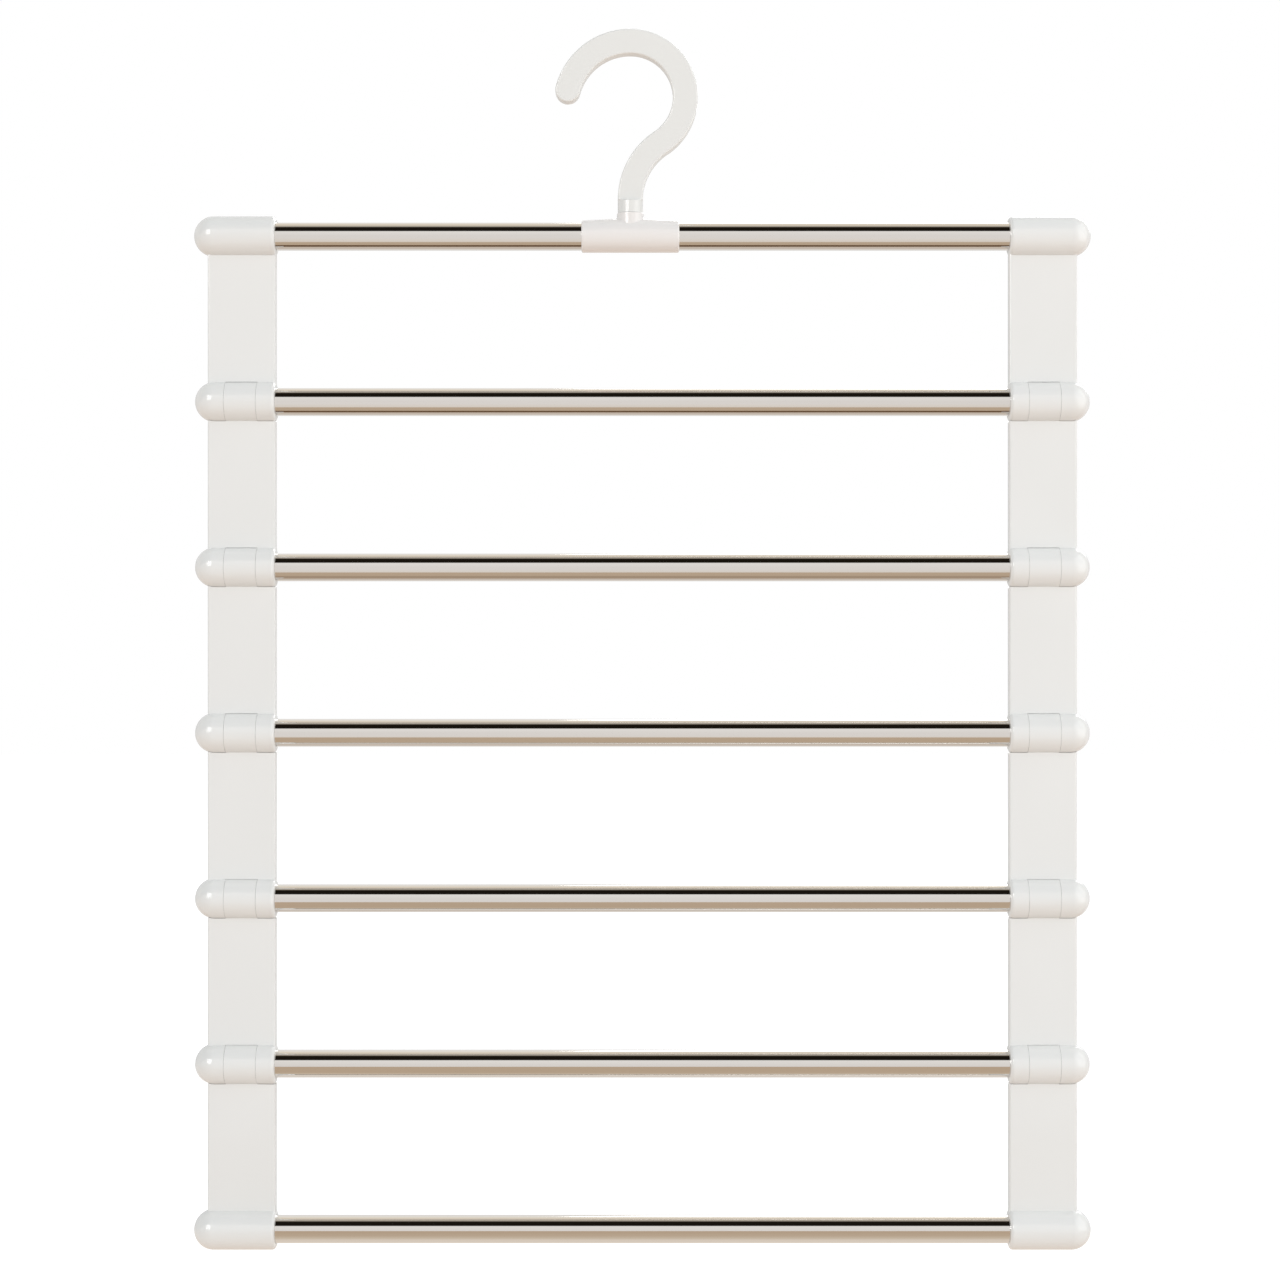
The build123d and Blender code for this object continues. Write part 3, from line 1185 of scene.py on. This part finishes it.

# %% The dark cards that paint a reflected line into the upper tubes
# The tube that a card hangs under, the card's width from front to back, and its colour, which the tube
# shows as a painted reflection.
painted_reflection_cards = [
    (1, 9.0 * MM, (0.17, 0.10, 0.055)),
    (2, 9.0 * MM, (0.17, 0.10, 0.055)),
    (3, 15.0 * MM, (0.48, 0.36, 0.26)),
]
card_drop = 30 * MM
card_overlap = 5 * MM
card_middle = -tube_radius / 2
# Each dark card paints a dark line into the tube above it, as a painted reflection that only the steel
# sees.
for number, across, colour in painted_reflection_cards:
    front = card_middle - across / 2
    back = card_middle + across / 2
    card(f"dark_card_{number}", front, back, 2 * (inner_face + card_overlap),
         bar_height(number) - card_drop, [(front, colour), (back, colour)])
print("dark cards:", len(painted_reflection_cards))


# %% The world
def background(tree, colour=None, strength=None):
    """A background of a linked colour and strength, or plain white."""
    node = tree.nodes.new("ShaderNodeBackground")
    if colour:
        tree.links.new(colour, node.inputs["Color"])
    else:
        node.inputs["Color"].default_value = (1, 1, 1, 1)
    if strength:
        tree.links.new(strength, node.inputs["Strength"])
    return node.outputs["Background"]


def make_world():
    """White to the camera, the room to glossy rays, and an even light to everything else."""
    world = bpy.data.worlds.new("studio_air")
    bpy.context.scene.world = world
    world.use_nodes = True
    tree = world.node_tree
    tree.nodes.clear()
    output = tree.nodes.new("ShaderNodeOutputWorld")
    direction = tree.nodes.new("ShaderNodeTexCoord").outputs["Generated"]
    rays = tree.nodes.new("ShaderNodeLightPath")
    air = background(tree, *even_light(tree, direction))
    seen_by = {
        "Is Glossy Ray": background(tree, room_colours(tree, direction)),
        "Is Camera Ray": background(tree),
    }
    for ray, sight in seen_by.items():
        air = mixed_shaders(tree, rays.outputs[ray], air, sight)
    tree.links.new(air, output.inputs["Surface"])


make_world()
print("world:", bpy.context.scene.world.name)

# %% [markdown]
# ## Lamps
#
# A wide soft window on the left does most of the shaping. It is also the bright dot on each
# left dome and the thin line down the hook's stem, and those two say how wide it is and where
# it stands. A broad, dimmer one far to the right keeps that side from falling off: it is the
# pale upright band on each right dome. A third stands behind, for whoever looks at the back.

# %% Place the lamps
def lamp(name, bearing, rise, distance, width, height, radiance):
    """A soft rectangular lamp of a set brightness that looks at the middle of the rack."""
    target = Vector((rack_middle, 0, (bar_height(1) + bar_height(len(bar_names))) / 2))
    bearing = math.radians(bearing)
    rise = math.radians(rise)
    away = Vector((math.sin(bearing) * math.cos(rise), -math.cos(bearing) * math.cos(rise),
                   math.sin(rise)))
    light = bpy.data.lights.new(name, "AREA")
    light.shape = "RECTANGLE"
    light.size = width
    light.size_y = height
    light.energy = radiance * math.pi * width * height
    made = bpy.data.objects.new(name, light)
    made.location = target + away * distance
    made.rotation_euler = away.to_track_quat("Z", "Y").to_euler()
    bpy.context.scene.collection.objects.link(made)


lamp("window", bearing=-30, rise=20, distance=8.0, width=3.5, height=3.5, radiance=7.0)
lamp("fill", bearing=68, rise=17, distance=2.5, width=2.6, height=3.6, radiance=1.5)
lamp("behind", bearing=160, rise=32, distance=4.0, width=2.4, height=2.4, radiance=3.4)
print("lamps:", len(bpy.data.lights))

# %% [markdown]
# ## Camera
#
# A 70 mm lens a little over a metre away, level with the middle of the rack.

# %% Set the camera
camera_data = bpy.data.cameras.new("camera")
camera_data.lens = 70
camera_data.sensor_width = 36
camera = bpy.data.objects.new("camera", camera_data)
camera.location = Vector((4.15, -1074.5, -234.2)) * MM
camera.rotation_euler = (math.pi / 2, 0, 0)
bpy.context.scene.collection.objects.link(camera)
bpy.context.scene.camera = camera
bpy.context.scene.view_settings.view_transform = "Standard"
print("camera at", [round(value / MM, 2) for value in camera.location], "mm")
